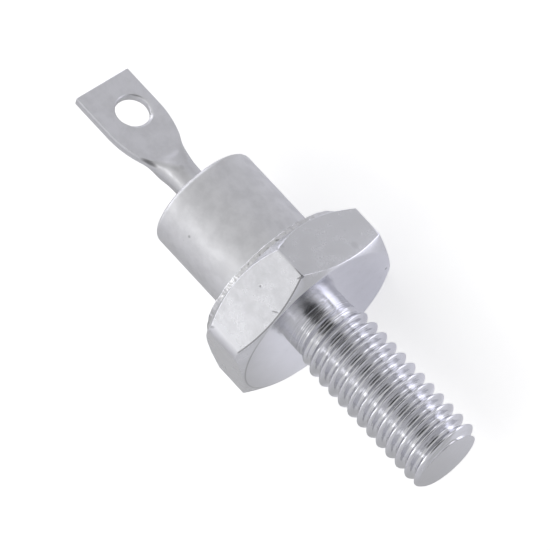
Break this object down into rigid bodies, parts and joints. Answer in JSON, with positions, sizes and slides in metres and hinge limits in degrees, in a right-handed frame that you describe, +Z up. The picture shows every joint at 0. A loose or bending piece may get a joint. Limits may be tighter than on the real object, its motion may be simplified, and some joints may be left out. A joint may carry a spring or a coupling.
{
  "type": "stud-mounted rectifier diode",
  "caption": "Stud-mounted rectifier diode: plated hexagonal base with a threaded stud, round metal cap, glass seal and a pierced flat terminal.",
  "frame": {"origin": "middle of the seat, where the stud's axis passes through the base's mounting face", "axes": "+X along the stud's axis from the seat to the terminal, +Z up with the part lying on one flat of its hexagon"},
  "size_m": [0.0308, 0.0128, 0.011],
  "materials": {
    "plated_base": "bright plated copper, satin turned faces",
    "plated_cap": "satin plated drawn steel",
    "plated_terminal": "satin plated, pressed flat",
    "seal_glass": "dark compression glass",
    "copper_strap": "soft bare copper strip",
    "molybdenum": "lapped molybdenum",
    "solder": "soft solder",
    "silicon": "polished dark silicon",
    "silicone_coating": "cured silicone"
  },
  "bodies": {
    "root": {"stud_base": "plated_base", "base_solder": "solder", "lower_disc": "molybdenum", "lower_chip_solder": "solder", "silicon_chip": "silicon", "upper_chip_solder": "solder", "upper_disc": "molybdenum", "junction_coating": "silicone_coating", "strap_solder": "solder", "lead_strap": "copper_strap", "glass_seal": "seal_glass", "cap": "plated_cap", "terminal": "plated_terminal"}
  },
  "joints": []
}
